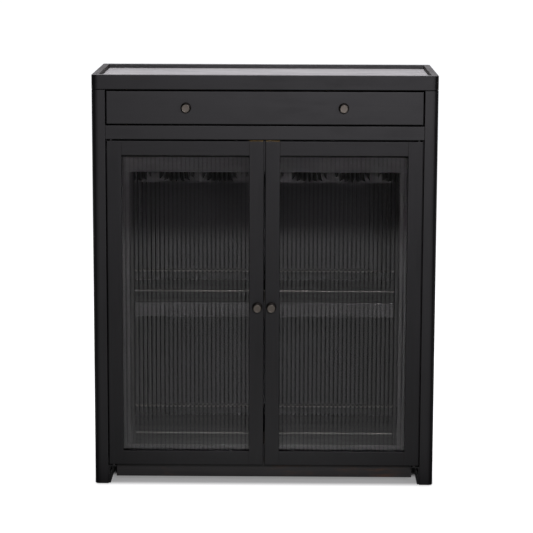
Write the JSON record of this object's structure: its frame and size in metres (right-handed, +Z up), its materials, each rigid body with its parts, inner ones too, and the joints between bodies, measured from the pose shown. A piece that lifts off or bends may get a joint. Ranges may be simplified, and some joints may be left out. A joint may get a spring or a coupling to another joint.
{
  "type": "bar cabinet",
  "caption": "Free-standing black bar cabinet with reeded-glass doors, a drawer, a tray top with a stone inset, and a shelf and stemware rack inside",
  "frame": {"origin": "on the floor, under the middle of the box that holds the cabinet and its knobs", "axes": "+X to the viewer's right as they face the doors, +Y from the doors to the back, +Z up"},
  "size_m": [1.016, 0.457, 1.2335],
  "materials": {
    "black_wood": "satin black lacquer over a close-grained wood",
    "board": "black-stained veneered board",
    "drawer_wood": "clear-lacquered pale hardwood",
    "stone": "honed light grey marble",
    "reeded_glass": "clear reeded glass",
    "dark_bronze": "brushed gunmetal bronze",
    "brass": "plain yellow brass",
    "steel": "zinc-plated steel",
    "black_steel": "black-painted steel",
    "nylon": "dark nylon"
  },
  "bodies": {
    "carcass": {"left_side_slab": "black_wood", "right_side_slab": "black_wood", "top_front_rail": "black_wood", "top_back_rail": "black_wood", "top_left_rail": "black_wood", "top_right_rail": "black_wood", "divider_rail": "black_wood", "rack_header": "black_wood", "inner_stiles": "black_wood", "stemware_rails": "black_wood", "shelf": "black_wood", "shelf_cleats": "black_wood", "cabinet_floor": "black_wood", "toe_board": "black_wood", "foot_strips": "black_wood", "top_board": "board", "dust_panel": "board", "rack_board": "board", "back_panel": "board", "stone_inset": "stone", "gallery_rods": "dark_bronze", "gallery_posts": "dark_bronze", "back_panel_screws": "steel", "pivot_pins": "steel", "runner_channels": "steel", "catch_magnets": "steel", "pivot_brackets": "black_steel", "floor_glides": "nylon", "door_stops": "nylon"},
    "drawer": {"drawer_front": "black_wood", "drawer_left_side": "drawer_wood", "drawer_right_side": "drawer_wood", "drawer_back": "drawer_wood", "drawer_bottom": "drawer_wood", "drawer_knobs": "dark_bronze", "drawer_backplates": "dark_bronze", "drawer_knob_screws": "steel", "runner_rails": "steel"},
    "left_door": {"left_door_hinge_stile": "black_wood", "left_door_meeting_stile": "black_wood", "left_door_top_rail": "black_wood", "left_door_bottom_rail": "black_wood", "left_door_glazing_beads": "black_wood", "left_door_glass": "reeded_glass", "left_door_knob": "dark_bronze", "left_door_backplate": "dark_bronze", "left_door_catch_plate": "brass", "left_door_screws": "brass", "left_door_pivot_bushes": "steel"},
    "right_door": {"right_door_hinge_stile": "black_wood", "right_door_meeting_stile": "black_wood", "right_door_top_rail": "black_wood", "right_door_bottom_rail": "black_wood", "right_door_glazing_beads": "black_wood", "right_door_glass": "reeded_glass", "right_door_knob": "dark_bronze", "right_door_backplate": "dark_bronze", "right_door_catch_plate": "brass", "right_door_screws": "brass", "right_door_pivot_bushes": "steel"}
  },
  "joints": [
    {"name": "drawer_slide", "type": "slide", "parent": "carcass", "child": "drawer", "axis": [0, -1, 0], "range_m": [0, 0.26]},
    {"name": "left_door_hinge", "type": "hinge", "parent": "carcass", "child": "left_door", "pos_m": [-0.4525, -0.1955, 0.545], "axis": [0, 0, -1], "range_deg": [0, 110]},
    {"name": "right_door_hinge", "type": "hinge", "parent": "carcass", "child": "right_door", "pos_m": [0.4525, -0.1955, 0.545], "axis": [0, 0, 1], "range_deg": [0, 110]}
  ]
}
